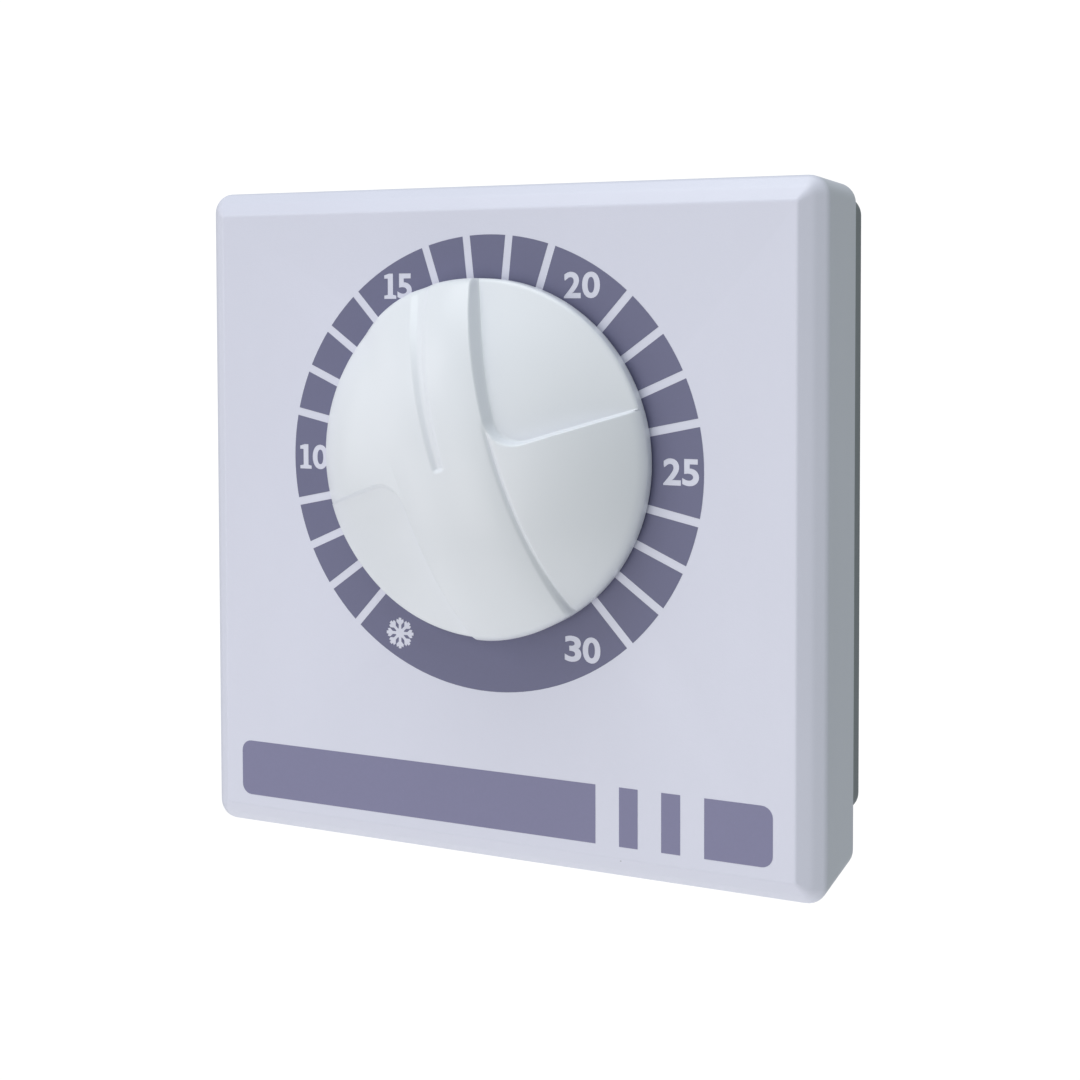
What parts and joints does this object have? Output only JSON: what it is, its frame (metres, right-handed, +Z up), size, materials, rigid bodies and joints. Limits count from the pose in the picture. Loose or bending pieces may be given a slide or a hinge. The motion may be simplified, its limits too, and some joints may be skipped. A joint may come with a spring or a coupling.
{
  "type": "wall thermostat",
  "caption": "Square wall-mounted room thermostat with a round turning dial knob, gas-capsule mechanism, snap switch and terminal block inside a bevelled casing.",
  "frame": {"origin": "on the wall face of the base plate, at the middle of the cover's square outline", "axes": "+Y into the wall, +Z up, +X to the right as seen from the front; the front looks along -Y"},
  "size_m": [0.08, 0.0324, 0.0794],
  "materials": {
    "cover_plastic": "satin moulded ABS, cool white",
    "base_plastic": "matt moulded plastic, light grey",
    "knob_plastic": "satin moulded ABS, white",
    "zinc_steel": "zinc plated",
    "bright_steel": "ground",
    "spring_steel": "tempered, bare",
    "brass": "turned and bare",
    "contact_bronze": "rolled strip",
    "switch_plastic": "black, moulded",
    "plunger_plastic": "red, moulded",
    "terminal_plastic": "ivory, moulded",
    "resistor_coat": "lacquered",
    "carriage_plastic": "natural acetal",
    "capsule_metal": "pressed sheet",
    "dial_ink": "pad-printed ink on the cover, grey violet"
  },
  "bodies": {
    "housing": {"cover": "cover_plastic", "base_plate": "base_plastic", "cover_screw": "zinc_steel", "bridge_screws": "zinc_steel", "block_screws": "zinc_steel", "terminal_screws": "zinc_steel", "mechanism_bridge": "zinc_steel", "spindle_bush": "brass", "guide_pins": "bright_steel", "backlash_springs": "spring_steel", "switch_case": "switch_plastic", "switch_lid": "switch_plastic", "switch_blade": "contact_bronze", "switch_fixed_contact": "contact_bronze", "terminal_block": "terminal_plastic", "terminal_clamps": "brass", "common_strip": "brass", "output_strip": "brass", "accelerator_resistor": "resistor_coat"},
    "dial": {"knob": "knob_plastic", "spindle": "brass", "spindle_clip": "spring_steel", "friction_washer": "spring_steel", "grip_clip": "spring_steel"},
    "carriage": {"capsule_carriage": "carriage_plastic", "capsule_front": "capsule_metal", "capsule_rear": "capsule_metal"},
    "capsule_centre": {"capsule_button": "brass"},
    "plunger": {"switch_plunger": "plunger_plastic"}
  },
  "joints": [
    {"name": "knob_turn", "type": "hinge", "parent": "housing", "child": "dial", "pos_m": [0, -0.0205, 0.0081], "axis": [0, -1, 0], "range_deg": [-168, 132]},
    {"name": "carriage_slide", "type": "slide", "parent": "housing", "child": "carriage", "axis": [0, 1, 0], "range_m": [-0.00057, 0.00045]},
    {"name": "capsule_stroke", "type": "slide", "parent": "carriage", "child": "capsule_centre", "axis": [0, 1, 0], "range_m": [-0.0002, 0.0003], "stiffness_N_per_m": 400},
    {"name": "plunger_press", "type": "slide", "parent": "housing", "child": "plunger", "axis": [0, 1, 0], "range_m": [0, 0.0006], "stiffness_N_per_m": 300}
  ],
  "couplings": [
    {"joint": "carriage_slide", "follows": "knob_turn", "m_per_rad": 0.00019099}
  ]
}
